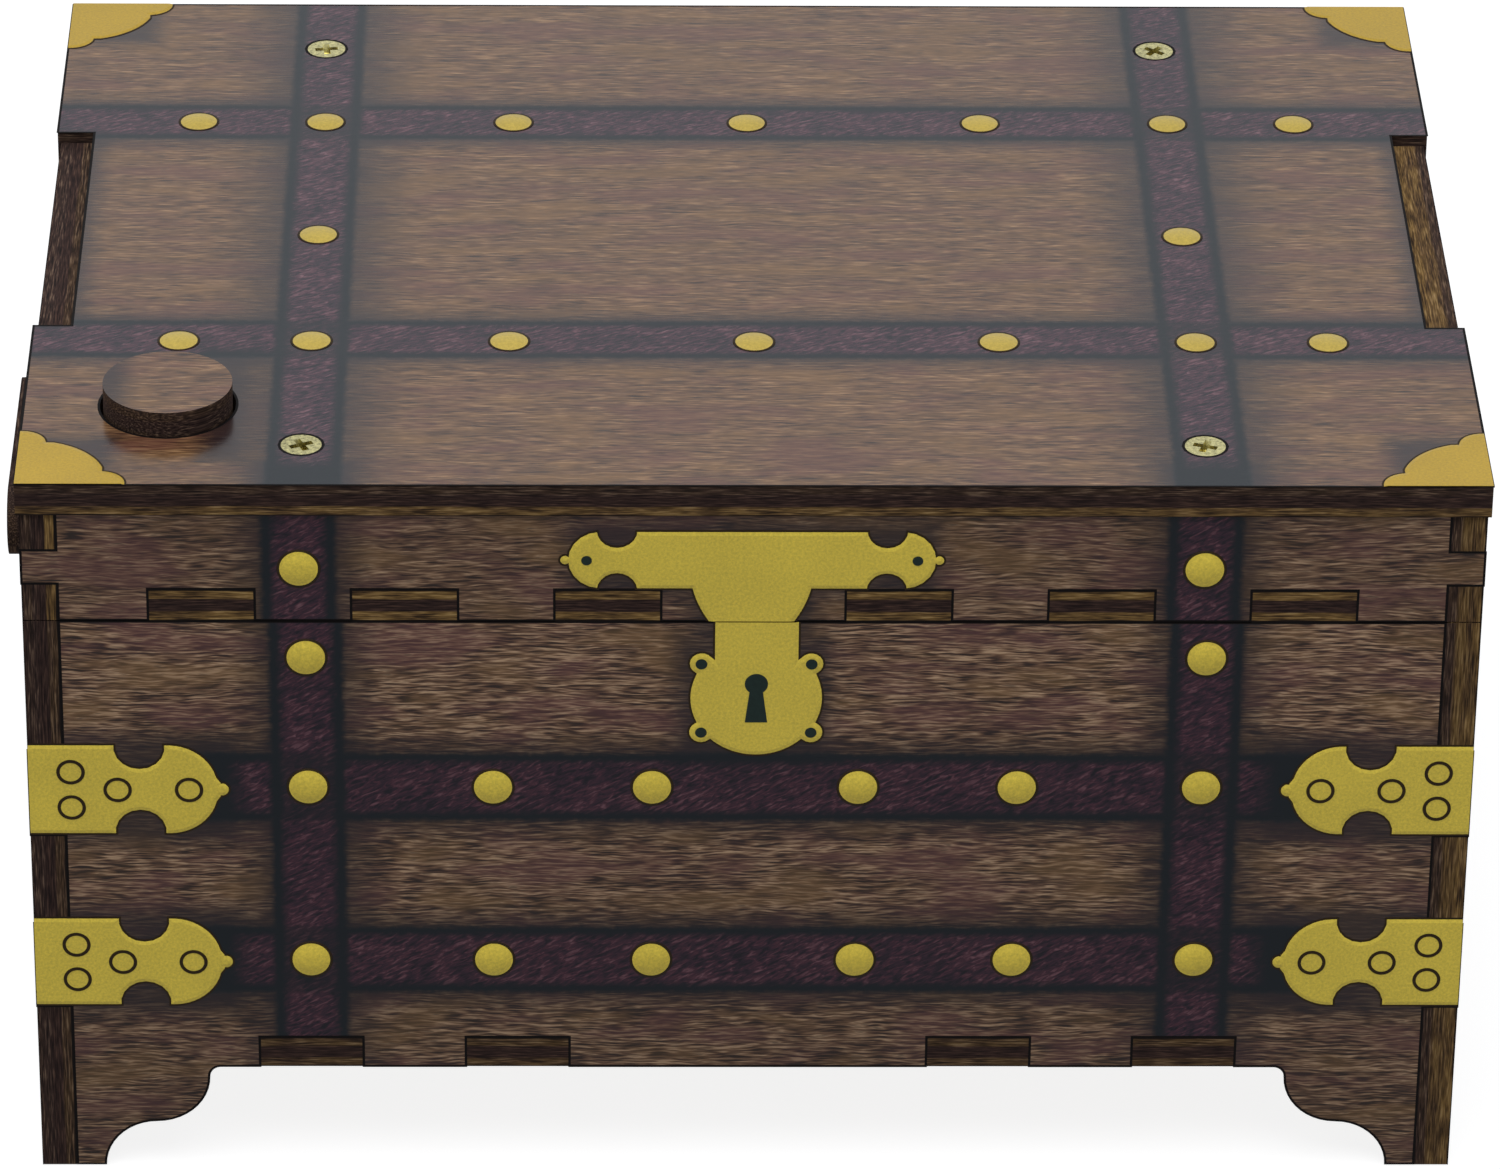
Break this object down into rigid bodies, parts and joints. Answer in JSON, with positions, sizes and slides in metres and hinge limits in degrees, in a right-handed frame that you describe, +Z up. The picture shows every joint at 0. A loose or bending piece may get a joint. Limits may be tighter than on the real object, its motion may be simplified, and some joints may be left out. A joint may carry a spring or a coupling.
{
  "type": "jack in the box",
  "caption": "Plywood treasure-chest jack in the box: a push button in the hinged lid trips a latch, the lid swings up and a jester on a coil spring rises out of the chest.",
  "frame": {"origin": "middle of the whole footprint, on the ground under the feet", "axes": "+Z up, +X to the right as seen from the front, +Y to the back where the hinges are"},
  "size_m": [0.1704, 0.1298, 0.0962],
  "materials": {
    "printed_ply": "satin print of dark wood grain on plywood, charred cut edges",
    "bare_ply": "bare birch plywood, charred cut edges",
    "brass": "satin brass",
    "steel": "bright",
    "spring_steel": "oiled spring steel",
    "turned_wood": "turned beech, lacquered, with a painted face",
    "red_paint": "gloss red paint on wood",
    "felt": "wool felt",
    "ruff_cloth": "starched cotton",
    "gown_cloth": "cotton"
  },
  "bodies": {
    "base": {"base_front_wall": "printed_ply", "base_back_wall": "printed_ply", "base_left_wall": "printed_ply", "base_right_wall": "printed_ply", "base_floor": "bare_ply", "keeper_clip": "spring_steel", "keeper_screws": "steel", "spring_seat": "bare_ply", "seat_boss": "bare_ply", "jack_spring": "spring_steel", "gown": "gown_cloth", "hinge_base_leaves": "brass", "hinge_pins": "brass", "hinge_base_screws": "brass"},
    "lid": {"lid_front_wall": "printed_ply", "lid_back_wall": "printed_ply", "lid_left_wall": "printed_ply", "lid_right_wall": "printed_ply", "lid_floor": "bare_ply", "lid_top": "printed_ply", "lid_posts": "bare_ply", "lid_screws": "brass", "hinge_lid_leaves": "brass", "hinge_lid_screws": "brass", "latch_bracket": "bare_ply", "latch_pin": "steel", "latch_bushes": "steel", "latch_spring": "spring_steel", "pin_cover": "printed_ply"},
    "button": {"button_cap": "printed_ply", "button_core": "bare_ply", "button_flange": "bare_ply"},
    "latch": {"latch_lever": "bare_ply"},
    "jack": {"jack_platform": "bare_ply", "platform_boss": "bare_ply", "neck_dowel": "turned_wood", "head": "turned_wood", "nose": "red_paint", "jester_cap": "felt", "cap_bells": "brass", "ruff_collar": "ruff_cloth"}
  },
  "joints": [
    {"name": "lid_hinge", "type": "hinge", "parent": "base", "child": "lid", "pos_m": [0, 0.0617, 0.07508], "axis": [-1, 0, 0], "range_deg": [0, 100], "deforming": ["keeper_clip"]},
    {"name": "button_press", "type": "slide", "parent": "lid", "child": "button", "axis": [0, 0, -1], "range_m": [0, 0.0028], "stiffness_N_per_m": 300, "springref_m": -0.003, "deforming": ["latch_spring"]},
    {"name": "latch_turn", "type": "hinge", "parent": "lid", "child": "latch", "pos_m": [-0.0677, -0.0305, 0.084], "axis": [1, 0, 0], "range_deg": [0, 10.45]},
    {"name": "jack_rise", "type": "slide", "parent": "base", "child": "jack", "axis": [0, 0, 1], "range_m": [0, 0.077], "deforming": ["jack_spring", "gown"]}
  ],
  "couplings": [
    {"joint": "latch_turn", "follows": "button_press", "rad_per_m": 64.935},
    {"joint": "jack_rise", "follows": "lid_hinge", "m_per_rad": 0.044}
  ]
}
